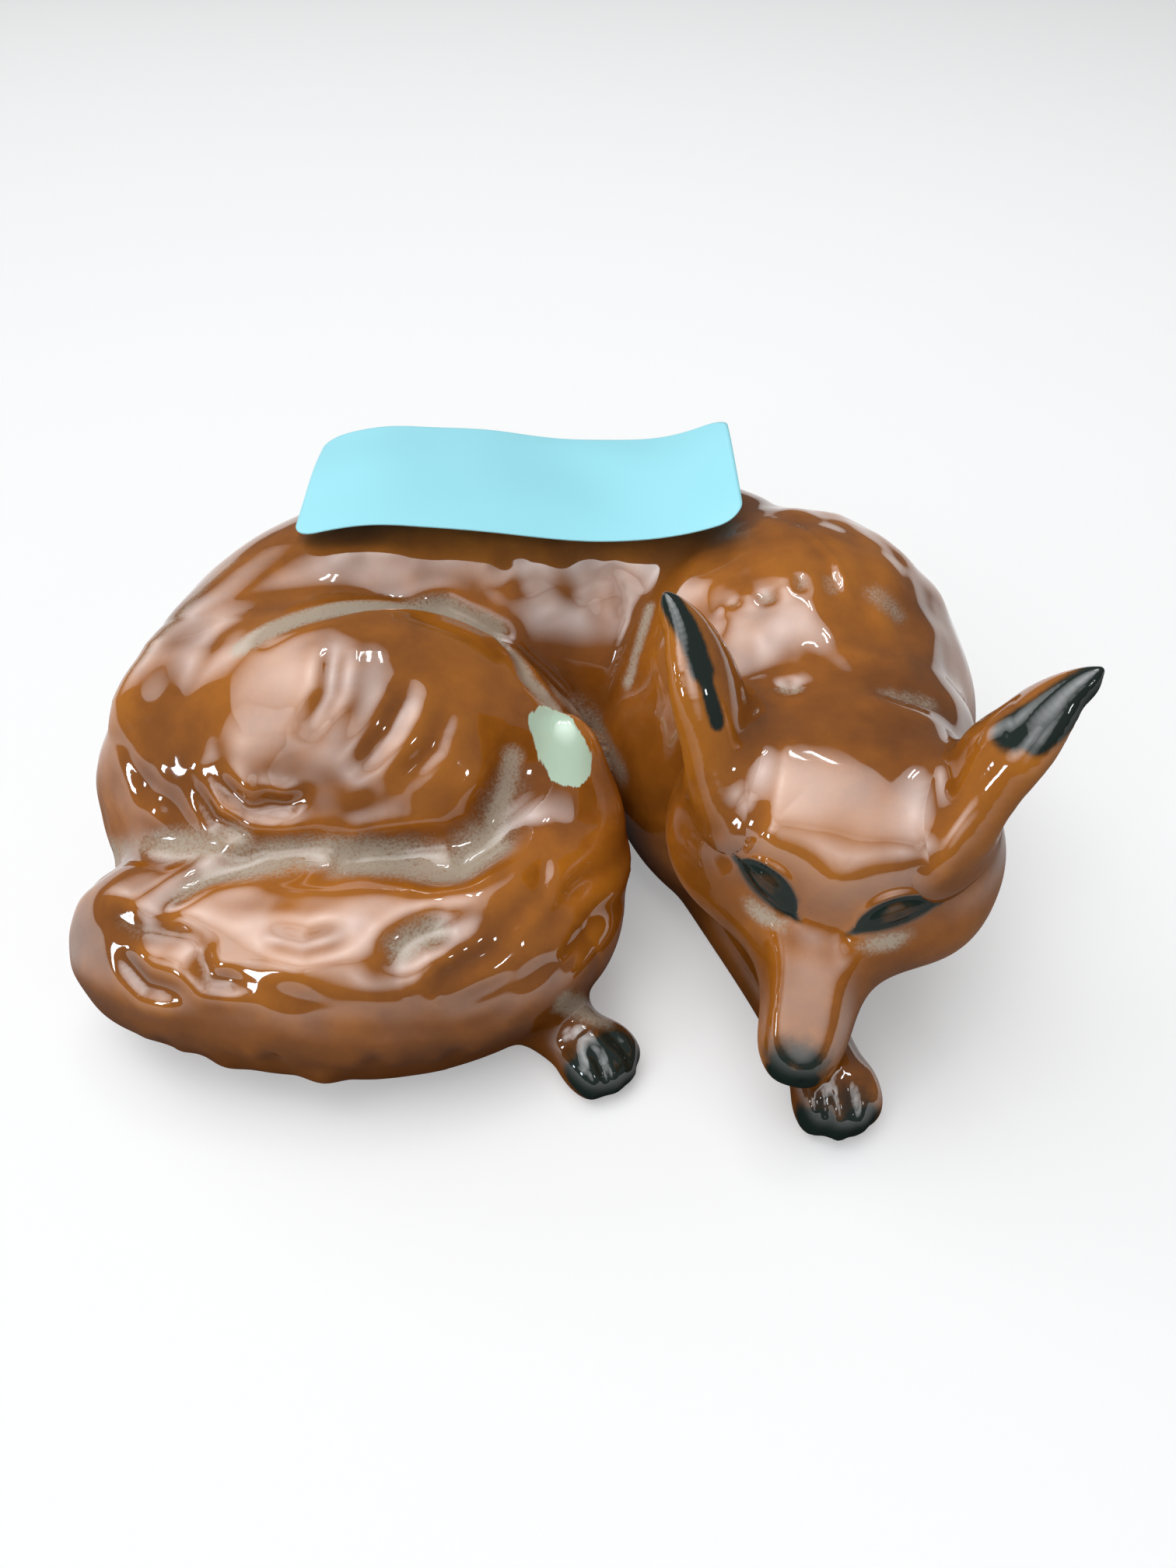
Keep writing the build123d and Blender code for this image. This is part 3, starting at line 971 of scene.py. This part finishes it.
def mix(tree, share, first, second):
    """Two colours mixed by a share."""
    values = {"Factor": share, 6: first, 7: second}
    return Wire.node(tree, "ShaderNodeMix", {"data_type": "RGBA"}, values, 2)


def new_material(name):
    """An empty material: its tree and the place's coordinates."""
    material = bpy.data.materials.new(name)
    material.use_nodes = True
    material.node_tree.nodes.clear()
    tree = material.node_tree
    return material, tree, Wire.node(tree, "ShaderNodeTexCoord", output="Object")


def opaque(colour):
    """A colour with full alpha."""
    return (*colour[:], 1.0)


def noise(tree, place, scale, detail=3.0, rough=0.5):
    """A noise texture from 0 to 1."""
    values = {"Vector": place, "Scale": scale, "Detail": detail, "Roughness": rough}
    return Wire.node(tree, "ShaderNodeTexNoise", {}, values)


def bump(tree, strength, distance, height):
    """A bumped normal."""
    values = {"Strength": strength, "Distance": distance, "Height": height}
    return Wire.node(tree, "ShaderNodeBump", {}, values)


def finish_surface(tree, values):
    """A Principled shader on the material's surface."""
    shader = Wire.node(tree, "ShaderNodeBsdfPrincipled", {}, values)
    Wire.node(tree, "ShaderNodeOutputMaterial", {}, {"Surface": shader})


def glaze(colours):
    """Russet glaze with painted shade, dark in the hollows and low down, where the glaze also lies thick;
    dusty in the creases, with painted points.
    """
    found = bpy.data.materials.get("russet_glaze_fired")
    if found:
        return found
    material, tree, place = new_material("russet_glaze_fired")

    def painted(name):
        return Wire.node(tree, "ShaderNodeAttribute", {"attribute_name": name}, {}, "Fac")

    drift = noise(tree, place, 55.0)
    fleck = noise(tree, place, 420.0, 4.0, 0.65)
    speck = noise(tree, place, 3000.0, 1.0)
    hollow = painted("hollow")
    # Painted shade: hollows and places near the floor get more umber and less amber, where the glaze also
    # pools thick; ridges get more amber, where it runs thin.
    height = Wire.node(tree, "ShaderNodeSeparateXYZ", {}, {"Vector": place}, "Z")
    low = height.clip(0.018, 0.004)
    tone_and_shade = (drift * 1.3 - hollow * 0.55 + fleck * 0.25 - 0.1 - 0.45 * low).clip(0.25, 0.95)
    colour = mix(tree, tone_and_shade, opaque(colours.umber), opaque(colours.russet))
    thin_glaze_and_shade = (drift * 1.2 + fleck * 0.4 - hollow * 0.8 - 0.4 * low).clip(0.75, 1.3)
    colour = mix(tree, thin_glaze_and_shade, colour, opaque(colours.amber))
    # The dust layer also lays a painted highlight along the back's left rim.
    dust = (painted("dust") * (0.35 + 1.2 * speck) - 0.4 * fleck).clip(-0.05, 0.65)
    colour = mix(tree, dust * 0.85, colour, opaque(colours.dust))
    # The ink also carries painted shade: darker under each upper lid and round the eyes.
    ink = (painted("ink") - 0.5 * fleck).clip(-0.1, 0.55)
    colour = mix(tree, ink, colour, opaque(colours.ink))
    eye = painted("eye")
    iris = mix(tree, fleck.clip(0.35, 0.7), opaque(colours.ink), opaque(colours.eye))
    colour = mix(tree, (eye - ink).clip(0.0, 0.6), colour, iris)
    drawn = Wire.node(tree, "ShaderNodeMapping", {}, {"Vector": place, "Scale": (1.0, 0.15, 0.25)})
    stroke = noise(tree, drawn, 1600.0, 2.0)
    cream = (painted("cream") - 0.7 * stroke - 0.3 * fleck).clip(0.0, 0.12)
    colour = mix(tree, cream, colour, opaque(colours.cream))
    bare = painted("bare")
    colour = mix(tree, bare, colour, opaque(colours.clay))
    steep = painted("steep") * (1 - eye)
    thick = (1 - 0.3 * ink) * (1 - (0.86 + 0.12 * (ink + low).clip(0.0, 1.0)) * steep)
    finish_surface(
        tree,
        {
            "Base Color": colour,
            "Roughness": 0.12 + dust * 0.3 + bare * 0.5,
            "Coat Weight": (1 - dust * 0.55) * (1 - bare) * (1 - 0.8 * eye) * thick,
            "Coat Roughness": 0.05,
            "Coat IOR": 2.15,
            "Specular IOR Level": 0.0,
            "Normal": bump(tree, 0.12, 0.0006, drift + fleck * 0.06),
        },
    )
    return material


def paper(colours):
    """Thin label paper, with a faint fibre and soft creases."""
    material, tree, place = new_material("sticker_paper_bare")
    fibre = noise(tree, place, 900.0, 4.0, 0.7)
    cloud = noise(tree, place, 40.0, 2.0)
    colour = mix(tree, cloud, opaque(colours.paper), opaque(colours.paper_pale))
    waves = bump(tree, 0.2, 0.0003, fibre * 0.2 + cloud)
    finish_surface(tree, {"Base Color": colour, "Roughness": 0.42 + fibre * 0.12, "Normal": waves})
    return material


def ground(colours):
    """The pale floor of the studio."""
    material, tree, place = new_material("studio_floor")
    cloud = noise(tree, place, 3.0, 2.0)
    colour = mix(tree, cloud, opaque(colours.floor), opaque(colours.floor_pale))
    shown = Wire.node(tree, "ShaderNodeLightPath", output="Is Camera Ray")
    for ray in ("Is Glossy Ray", "Is Transmission Ray"):
        shown = shown + Wire.node(tree, "ShaderNodeLightPath", output=ray)
    shown = shown.clip(0.0, 1.0)
    colour = mix(tree, shown, opaque(colours.floor_bounce), colour)
    glow = mix(tree, shown, (0.0, 0.0, 0.0, 1.0), opaque(colours.floor_glow))
    finish_surface(
        tree,
        {
            "Base Color": colour,
            "Roughness": 0.9,
            "Specular IOR Level": 0.0,
            "Emission Color": glow,
            "Emission Strength": 1.0,
        },
    )
    return material


def length_property(name, description, default):
    """A length in metres that the user can change."""
    return FloatProperty(name=name, description=description, default=default, unit="LENGTH")


def angle_property(name, description, degrees):
    """An angle that the user can change."""
    default = math.radians(degrees)
    return FloatProperty(name=name, description=description, default=default, subtype="ANGLE")


def share_property(name, description, default):
    """A share of one that the user can change."""
    return FloatProperty(name=name, description=description, default=default, subtype="FACTOR")


def place_property(name, description, default):
    """A place in metres that the user can change."""
    return FloatVectorProperty(
        name=name, description=description, default=default, size=len(default), subtype="TRANSLATION"
    )


def colour_property(name, description, default):
    """A colour that the user can change."""
    return FloatVectorProperty(
        name=name, description=description, default=default, subtype="COLOR", min=0, max=1
    )


class FoxClay(bpy.types.PropertyGroup):
    """How the clay is joined and worked."""

    grain_size: length_property("Grain", "Edge of the skin's faces", 0.00045)
    fill_steps: IntProperty(
        name="Crease fill", description="How often the joined skin is softened", default=14
    )
    ridge_wear: share_property("Ridge wear", "Share of the softening that ridges get", 0.3)
    blend_steps: IntProperty(
        name="Blend", description="How far ears, neck and hip run into the trunk", default=200
    )
    seam_overlap: length_property("Seam overlap", "How far a rim runs under its neighbour", 0.0012)
    drain_at: place_property("Drain", "Middle of the drain hole", (-0.01115, 0.02455))
    drain_bore: length_property("Drain bore", "Width of the drain hole", 0.009)
    lump_depth: length_property("Lumps", "Depth of the hand-worked unevenness", 0.00022)
    lump_size: length_property("Lump size", "Spacing of the unevenness", 0.010)
    brush_depth: length_property("Brush locks", "Depth of the locks on the brush", 0.0011)
    haunch_depth: length_property("Haunch locks", "Depth of the locks on the haunch", 0.0007)
    ruff_depth: length_property("Ruff ripples", "Depth of the ripples on the shoulder", 0.0004)


class FoxFace(bpy.types.PropertyGroup):
    """How the head is turned, and the forms of its brow, muzzle and ears."""

    poll: place_property("Poll", "Top of the neck, where the head's axis starts", (0.0363, -0.0152, 0.037))
    turn: angle_property("Turn", "To the fox's right", 12.5)
    drop: angle_property("Drop", "Below the horizontal", 37.0)
    roll: angle_property("Roll", "About the head's axis", -5.0)
    nose_aside: length_property("Nose", "Of the nose from the head's axis", 0.0015)
    bridge_back: length_property("Bridge, back", "Height of the muzzle's flat top at the brow", 0.0052)
    bridge_front: length_property("Bridge, front", "Height of the muzzle's flat top at the nose", 0.0018)
    brow_round: length_property("Brow", "Radius of the forehead from side to side", 0.012)
    brow_flat: share_property("Brow, flat", "Share of that rounding that is taken off", 0.4)
    ear_swell: length_property("Ear tips", "How much thicker the ears' tips are", 0.0016)


class FoxPaper(bpy.types.PropertyGroup):
    """The paper sticker."""

    corner: length_property("Corner", "Radius of the corners", 0.003)
    thickness: length_property("Thickness", "Of the paper", 0.00015)
    ripple: length_property("Ripple", "Height of the paper's waves", 0.0004)


class FoxColours(bpy.types.PropertyGroup):
    """The colours of the glaze, the painted points, the paper and the floor."""

    russet: colour_property("Russet", "Main colour of the glaze", (0.38, 0.118, 0.012))
    # Amber and umber also carry painted shade: umber in the hollows and low down, amber on the ridges.
    amber: colour_property("Amber", "Thin glaze over the ridges", (0.50, 0.168, 0.014))
    umber: colour_property("Umber", "Thick glaze in the hollows", (0.16, 0.048, 0.006))
    # Dust also lays a painted highlight along the back's left rim.
    dust: colour_property("Dust", "Matt bloom in the creases", (0.50, 0.43, 0.34))
    # Ink also holds the painted shade in and round the eyes.
    ink: colour_property("Ink", "Painted ears, eyes, nose and toes", (0.012, 0.022, 0.018))
    eye: colour_property("Eye", "Eyeballs", (0.050, 0.032, 0.018))
    cream: colour_property("Cream", "Tip of the brush", (0.60, 0.80, 0.62))
    clay: colour_property("Clay", "Bare foot", (0.62, 0.50, 0.38))
    paper: colour_property("Paper", "Sticker", (0.365, 0.84, 0.955))
    paper_pale: colour_property("Pale paper", "Lighter clouds in the sticker", (0.40, 0.87, 0.975))
    floor: colour_property("Floor", "Studio floor", (0.72, 0.72, 0.72))
    floor_pale: colour_property("Pale floor", "Lighter clouds in the floor", (0.74, 0.74, 0.74))
    floor_glow: colour_property("Glow", "Pale background that shows in the floor", (0.28, 0.28, 0.28))
    floor_bounce: colour_property("Bounce", "Floor as it lights the object", (0.30, 0.28, 0.26))


class FoxStage(bpy.types.PropertyGroup):
    """Where the camera of the photograph stands."""

    target: place_property("Target", "Point in the middle of the frame", (0.0058, -0.0012, 0.016))
    camera_far: length_property("Distance", "From the camera to the target", 0.160)
    camera_tilt: angle_property("Tilt", "Height of the camera above the floor, as an angle", 43.0)
    lens: FloatProperty(name="Lens", description="Focal length in millimetres", default=27.07)
    sensor: FloatProperty(name="Sensor", description="Long side in millimetres", default=36.0)


class FOX_OT_trunk(bpy.types.Operator):
    """Model the back, the forequarter and the haunch"""

    bl_idname = "fox.trunk"
    bl_label = "Trunk"

    def execute(self, context):
        for name in ("back_shell", "forequarter_shell", "haunch_shell"):
            make_casting(context, name)
        return {"FINISHED"}


class FOX_OT_brush(bpy.types.Operator):
    """Model the brush"""

    bl_idname = "fox.brush"
    bl_label = "Brush"

    def execute(self, context):
        make_casting(context, "tail")
        return {"FINISHED"}


class FOX_OT_head(bpy.types.Operator):
    """Model the head with its face"""

    bl_idname = "fox.head"
    bl_label = "Head"

    def execute(self, context):
        make_casting(context, "head_shell", True, work_head)
        return {"FINISHED"}


class FOX_OT_ears(bpy.types.Operator):
    """Model both ears"""

    bl_idname = "fox.ears"
    bl_label = "Ears"

    def execute(self, context):
        for name in ("left_ear", "right_ear"):
            make_casting(context, name, True)
        return {"FINISHED"}


class FOX_OT_legs(bpy.types.Operator):
    """Model the foreleg and the hind paw"""

    bl_idname = "fox.legs"
    bl_label = "Legs"

    def execute(self, context):
        for name in ("foreleg", "hind_paw"):
            make_casting(context, name, True)
        return {"FINISHED"}


class FOX_OT_sticker(bpy.types.Operator):
    """Lay the paper sticker on the back"""

    bl_idname = "fox.sticker"
    bl_label = "Sticker"

    def execute(self, context):
        make_sticker(context)
        return {"FINISHED"}


class FOX_OT_stage(bpy.types.Operator):
    """Set up the floor, the light and the camera"""

    bl_idname = "fox.stage"
    bl_label = "Stage"

    def execute(self, context):
        scene, stage = context.scene, context.scene.fox_stage
        mesh = bpy.data.meshes.new("floor")
        half = 2.0
        corners = [(-half, -half, 0), (half, -half, 0), (half, half, 0), (-half, half, 0)]
        mesh.from_pydata(corners, [], [(0, 1, 2, 3)])
        mesh.materials.append(ground(scene.fox_colours))
        floor = bpy.data.objects.new("floor", mesh)
        context.collection.objects.link(floor)

        for name, place, turn, size, spread, power, colour in LAMPS:
            lamp = bpy.data.lights.new(name, "AREA")
            lamp.shape, lamp.size, lamp.size_y = "RECTANGLE", *size
            lamp.spread = math.radians(spread)
            lamp.energy, lamp.color = power, colour
            holder = bpy.data.objects.new(name, lamp)
            holder.location = place
            holder.rotation_euler = [math.radians(angle) for angle in turn]
            context.collection.objects.link(holder)

        world = bpy.data.worlds.new("studio")
        world.use_nodes = True
        background = world.node_tree.nodes["Background"]
        background.inputs["Color"].default_value = (1.0, 1.0, 1.0, 1)
        background.inputs["Strength"].default_value = 0.12
        scene.world = world

        eye, _, _, _ = camera_axes(stage)
        data = bpy.data.cameras.new("photograph")
        data.lens, data.sensor_width = stage.lens, stage.sensor
        data.clip_start = 0.005
        camera = bpy.data.objects.new("photograph", data)
        camera.location = (eye / MM).tolist()
        camera.rotation_euler = (math.pi / 2 - stage.camera_tilt, 0.0, 0.0)
        context.collection.objects.link(camera)
        scene.camera = camera
        scene.view_settings.view_transform = "Standard"
        return {"FINISHED"}


DAYLIGHT, SKY, WHITE, TUBE = (0.98, 0.99, 1.0), (0.80, 0.91, 1.0), (0.95, 0.98, 1.0), (0.95, 1.0, 1.0)

# Soft boxes: name, place in metres, turn in degrees, size, spread in degrees, watts, colour
LAMPS = (
    ("ceiling", (-0.30, 0.02, 1.25), (0, -13, 12), (1.50, 1.90), 76, 5.5, DAYLIGHT),
    ("front", (-0.06, -0.95, 0.70), (53, 0, -5), (0.80, 1.00), 48, 0.34, DAYLIGHT),
    ("corner", (-0.56, -0.60, 0.66), (52, 0, -44), (0.65, 0.60), 42, 0.155, DAYLIGHT),
    ("side", (-0.68, 0.56, 0.47), (62, 0, -129), (0.65, 0.60), 44, 0.17, DAYLIGHT),
    ("window", (-0.40, -0.44, 0.165), (77, 0, -47), (0.06, 0.09), 180, 0.25, SKY),
    ("pane", (-0.59, -0.22, 0.14), (79, 0, -70), (0.06, 0.10), 180, 0.25, SKY),
    ("glint", (0.42, -0.42, 0.36), (59, 0, 45), (0.05, 0.05), 180, 0.10, WHITE),
    ("tube_near", (0.05, 0.26, 0.90), (-15, 3, 25), (0.02, 0.16), 180, 0.15, TUBE),
    ("tube_far", (0.13, 0.24, 0.90), (-15, 6, 15), (0.02, 0.16), 180, 0.15, TUBE),
)

OPERATORS = (
    FOX_OT_trunk,
    FOX_OT_brush,
    FOX_OT_head,
    FOX_OT_ears,
    FOX_OT_legs,
    FOX_OT_sticker,
    FOX_OT_stage,
)
GROUPS = (
    ("fox_clay", FoxClay),
    ("fox_face", FoxFace),
    ("fox_paper", FoxPaper),
    ("fox_colours", FoxColours),
    ("fox_stage", FoxStage),
)


class FOX_PT_bench(bpy.types.Panel):
    """The sizes and steps of the ornament"""

    bl_idname = "FOX_PT_bench"
    bl_label = "Curled fox"
    bl_space_type = "VIEW_3D"
    bl_region_type = "UI"
    bl_category = "Fox"

    def draw(self, context):
        for operator in OPERATORS:
            self.layout.operator(operator.bl_idname)
        for name, group in GROUPS:
            box = self.layout.box()
            for key in group.__annotations__:
                box.prop(getattr(context.scene, name), key)


def register():
    for name, group in GROUPS:
        bpy.utils.register_class(group)
        setattr(bpy.types.Scene, name, PointerProperty(type=group))
    for operator in OPERATORS:
        bpy.utils.register_class(operator)
    bpy.utils.register_class(FOX_PT_bench)


def unregister():
    bpy.utils.unregister_class(FOX_PT_bench)
    for operator in reversed(OPERATORS):
        bpy.utils.unregister_class(operator)
    for name, group in reversed(GROUPS):
        delattr(bpy.types.Scene, name)
        bpy.utils.unregister_class(group)


def main():
    register()
    bpy.ops.fox.stage()
    bpy.ops.fox.trunk()
    bpy.ops.fox.brush()
    bpy.ops.fox.head()
    bpy.ops.fox.ears()
    bpy.ops.fox.legs()
    bpy.ops.fox.sticker()


if __name__ == "__main__":
    main()
